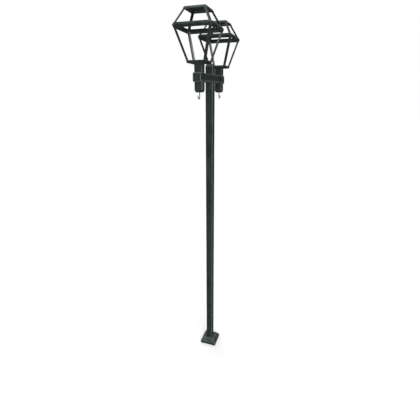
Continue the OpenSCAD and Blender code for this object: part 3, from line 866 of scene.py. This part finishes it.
def floor_material():
    """White to the camera and mid grey to everything that the floor would light."""
    tree = Tree("floor_white")
    path = tree.add("ShaderNodeLightPath")
    seen = tree.most(path.outputs["Is Camera Ray"], path.outputs["Is Glossy Ray"])
    tree.feed(tree.shader.inputs["Base Color"], tree.blend(seen, FLOOR_GREY, WHITE))
    tree.shader.inputs["Roughness"].default_value = 1.0
    tree.shader.inputs["Emission Color"].default_value = (*WHITE, 1.0)
    tree.feed(tree.shader.inputs["Emission Strength"], tree.times(seen, FLOOR_GLOW))
    tree.shader.inputs["Specular IOR Level"].default_value = 0.0
    return tree.material


def build_sky(scene):
    """An even white sky where it is seen or mirrored, and a softer one where it lights."""
    world = bpy.data.worlds.new("pale_sky")
    scene.world = world
    world.use_nodes = True
    nodes, links = world.node_tree.nodes, world.node_tree.links
    sky = nodes["Background"]
    sky.inputs["Color"].default_value = (*WHITE, 1.0)
    path = nodes.new("ShaderNodeLightPath")
    seen = nodes.new("ShaderNodeMath")
    seen.operation = "MAXIMUM"
    links.new(path.outputs["Is Camera Ray"], seen.inputs[0])
    links.new(path.outputs["Is Glossy Ray"], seen.inputs[1])
    level = nodes.new("ShaderNodeMapRange")
    level.inputs["To Min"].default_value = SKY_LIGHT
    level.inputs["To Max"].default_value = 1.0
    links.new(seen.outputs[0], level.inputs["Value"])
    links.new(level.outputs["Result"], sky.inputs["Strength"])


# ---- Operators ----


class LAMPPOST_OT_stage(bpy.types.Operator):
    """Adds the floor, the sky, the three soft lights and the camera"""

    bl_idname = "lamppost.stage"
    bl_label = "Stage"

    def execute(self, context):
        settings = context.scene.lamppost_stage
        nothing_selected()
        bpy.ops.mesh.primitive_plane_add(size=2 * settings.floor_reach, location=(0, 0, 0))
        floor = context.active_object
        floor.name = "floor"
        floor.data.materials.append(floor_material())
        build_sky(context.scene)
        for name in LIGHTS:
            bpy.ops.object.light_add(type="SUN", location=LIGHT_PLACE)
            light = context.active_object
            light.name = f"{name}_light"
            light.data.energy = getattr(settings, f"{name}_strength")
            light.data.angle = getattr(settings, f"{name}_spread")
            height, turn = getattr(settings, f"{name}_height"), getattr(settings, f"{name}_turn")
            light.rotation_euler = (QUARTER_TURN - height, 0, turn)
        bpy.ops.object.camera_add(location=settings.camera_place)
        camera = context.active_object
        camera.rotation_euler = (QUARTER_TURN - settings.camera_dip, 0, settings.camera_turn)
        camera.data.sensor_width = SENSOR_WIDTH
        camera.data.lens = settings.lens
        context.scene.camera = camera
        context.scene.view_settings.view_transform = "Standard"
        return {"FINISHED"}


class LAMPPOST_OT_base(bpy.types.Operator):
    """Finishes the base plate, its weld and the hipped cover"""

    bl_idname = "lamppost.base"
    bl_label = "Base"

    def execute(self, context):
        settings = context.scene.lamppost_paint
        coat = worn_paint_and_light("base_paint", settings, lines=cover_wear_and_highlights, dust_and_top_light_share=0.7)
        paint(coat, "base_plate", "base_weld", "base_cover")
        soften(COVER_ROUND, "base_cover", "base_plate")
        return {"FINISHED"}


class LAMPPOST_OT_post(bpy.types.Operator):
    """Finishes the post tube, its head and its cap"""

    bl_idname = "lamppost.post"
    bl_label = "Post"

    def execute(self, context):
        settings = context.scene.lamppost_paint
        paint(worn_paint_and_light("post_paint", settings, lines=post_wear_and_painted_light), "post_tube", "post_head")
        paint(worn_paint_and_light("cap_paint", settings, line_share=0.4), "post_cap")
        soften(POST_CAP_ROUND, "post_cap")
        return {"FINISHED"}


class LAMPPOST_OT_arm(bpy.types.Operator):
    """Finishes the arm and its end plates"""

    bl_idname = "lamppost.arm"
    bl_label = "Arm"

    def execute(self, context):
        coat = worn_paint_and_light("arm_paint", context.scene.lamppost_paint, lines=arm_wear_and_highlights)
        paint(coat, "arm_tube", "arm_left_end", "arm_right_end")
        soften(END_PLATE_ROUND, "arm_left_end", "arm_right_end")
        return {"FINISHED"}


class LAMPPOST_OT_drops(bpy.types.Operator):
    """Finishes the drop tubes, their caps and the stems"""

    bl_idname = "lamppost.drops"
    bl_label = "Drop tubes and stems"

    def execute(self, context):
        settings = context.scene.lamppost_paint
        # The stems and drop tubes are made paler all over to lift the shade of their trays and the
        # arm: painted light.
        paint(worn_paint_and_light("stem_paint", settings, lines=tube_wear_and_painted_light, paleness=0.9), *both("drop", "stem"))
        paint(bpy.data.materials["cap_paint"], *both("drop_cap", "stem_plate"))
        soften(DROP_CAP_ROUND, *both("drop_cap", "stem_plate"))
        return {"FINISHED"}


class LAMPPOST_OT_hooks(bpy.types.Operator):
    """Finishes the two hooks"""

    bl_idname = "lamppost.hooks"
    bl_label = "Hooks"

    def execute(self, context):
        settings = context.scene.lamppost_paint
        coat = worn_paint_and_light("hook_paint", settings, line_share=0.2, dust_and_top_light_share=0.2)
        paint(coat, *both("hook"))
        return {"FINISHED"}


class LAMPPOST_OT_lanterns(bpy.types.Operator):
    """Finishes both lantern frames"""

    bl_idname = "lamppost.lanterns"
    bl_label = "Lanterns"

    def execute(self, context):
        settings = context.scene.lamppost_paint
        sheets, roofs = both("tray", "clamp_plate"), both("roof")
        rails = all_corners("waist_rail")
        bars = all_corners("lower_bar", "upper_bar")
        coat = worn_paint_and_light("lantern_paint", settings, lines=sheet_wear_and_highlights, dust_and_top_light_share=0.35)
        paint(coat, *sheets, *rails, *both("rivets"))
        coat = worn_paint_and_light("roof_paint", settings, lines=sheet_wear_and_highlights, dust_and_top_light_share=0.6, paleness=1.0)
        paint(coat, *roofs)
        coat = worn_paint_and_light("lower_bar_paint", settings, pale=old_bedding)
        paint(coat, *all_corners("lower_bar"))
        coat = worn_paint_and_light("upper_bar_paint", settings, dust_and_top_light_share=0.8)
        paint(coat, *all_corners("upper_bar"))
        soften(SHEET_ROUND, *sheets, *roofs, *bars, *rails)
        return {"FINISHED"}


class LAMPPOST_OT_welds(bpy.types.Operator):
    """Adds the weld beads of the arm, the trays and the lantern frames"""

    bl_idname = "lamppost.welds"
    bl_label = "Welds"

    def execute(self, context):
        coat = worn_paint_and_light("weld_paint", context.scene.lamppost_paint, lines=all_over)
        ring = tube_ring()
        for name, x, z, turn in ARM_WELDS:
            settle(copy_of(ring, name, (x, 0, z), turn), coat)
        seam, tray, feet, mitres = end_seam(), tray_ring(), foot_beads(), mitre_beads()
        for side in SIDES:
            x = OUTWARDS[side] * STEM_X
            end = (OUTWARDS[side] * (ARM_END - END_PLATE), 0, ARM_MIDDLE.z)
            settle(copy_of(seam, f"arm_end_weld_{side}", end), coat)
            settle(copy_of(tray, f"tray_weld_{side}", (x, 0, TRAY_FOOT)), coat)
            settle(copy_of(feet, f"foot_weld_{side}", (x, 0, RIM_Z)), coat)
            settle(copy_of(mitres, f"mitre_weld_{side}", (x, 0, WAIST_Z)), coat)
        discard(ring, seam, tray, feet, mitres)
        return {"FINISHED"}


class LAMPPOST_OT_fasteners(bpy.types.Operator):
    """Finishes the bolts and nuts, and gives the countersunk screws their sockets"""

    bl_idname = "lamppost.fasteners"
    bl_label = "Fasteners"

    def execute(self, context):
        settings = context.scene.lamppost_paint
        paint(zinc_steel("zinc"), "hook_nuts", *both("tray_bolts"))
        coat = worn_paint_and_light("screw_paint", settings, line_share=0.6, dust_and_top_light_share=0.3, edge=1 * MM)
        head_z = top("post_head") - CAP_SCREW_INSET
        drop_z = foot("drop_right") + CAP_SCREW_INSET
        places = [((x, way * POST_HALF, z), (-way * QUARTER_TURN, 0, 0)) for way in BOTH_WAYS
                  for x, z in ((0, head_z), (-STEM_X, drop_z), (STEM_X, drop_z))]
        screws("cap_screw_heads", CAP_SCREW, places, coat, "cap_screws")
        z = middle("cover_screws").z
        places = [((way * COVER_HALF, 0, z), (0, way * QUARTER_TURN, 0)) for way in BOTH_WAYS]
        places += [((0, way * COVER_HALF, z), (-way * QUARTER_TURN, 0, 0)) for way in BOTH_WAYS]
        screws("cover_screw_heads", COVER_SCREW, places, coat, "cover_screws")
        return {"FINISHED"}


class LAMPPOST_PT_panel(bpy.types.Panel):
    """Lists the settings and the operators in the sidebar"""

    bl_idname = "LAMPPOST_PT_panel"
    bl_label = "Lamp Post"
    bl_space_type = "VIEW_3D"
    bl_region_type = "UI"
    bl_category = "Lamp Post"

    def draw(self, context):
        scene = context.scene
        for settings in (scene.lamppost_paint, scene.lamppost_stage):
            box = self.layout.box()
            for name in settings.__annotations__:
                box.prop(settings, name)
        for step in STEPS:
            self.layout.operator(step.bl_idname)


STEPS = (
    LAMPPOST_OT_stage,
    LAMPPOST_OT_base,
    LAMPPOST_OT_post,
    LAMPPOST_OT_arm,
    LAMPPOST_OT_drops,
    LAMPPOST_OT_hooks,
    LAMPPOST_OT_lanterns,
    LAMPPOST_OT_welds,
    LAMPPOST_OT_fasteners,
)
SETTINGS = (LampPostPaint, LampPostStage)


def register():
    """Registers the settings, the operators and the panel."""
    for cls in (*SETTINGS, *STEPS, LAMPPOST_PT_panel):
        bpy.utils.register_class(cls)
    bpy.types.Scene.lamppost_paint = bpy.props.PointerProperty(type=LampPostPaint)
    bpy.types.Scene.lamppost_stage = bpy.props.PointerProperty(type=LampPostStage)


def unregister():
    """Takes them away again."""
    del bpy.types.Scene.lamppost_stage
    del bpy.types.Scene.lamppost_paint
    for cls in reversed((*SETTINGS, *STEPS, LAMPPOST_PT_panel)):
        bpy.utils.unregister_class(cls)


def main():
    """Builds everything in order."""
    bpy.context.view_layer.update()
    register()
    bpy.ops.lamppost.stage()
    bpy.ops.lamppost.base()
    bpy.ops.lamppost.post()
    bpy.ops.lamppost.arm()
    bpy.ops.lamppost.drops()
    bpy.ops.lamppost.hooks()
    bpy.ops.lamppost.lanterns()
    bpy.ops.lamppost.welds()
    bpy.ops.lamppost.fasteners()


if __name__ == "__main__":
    main()
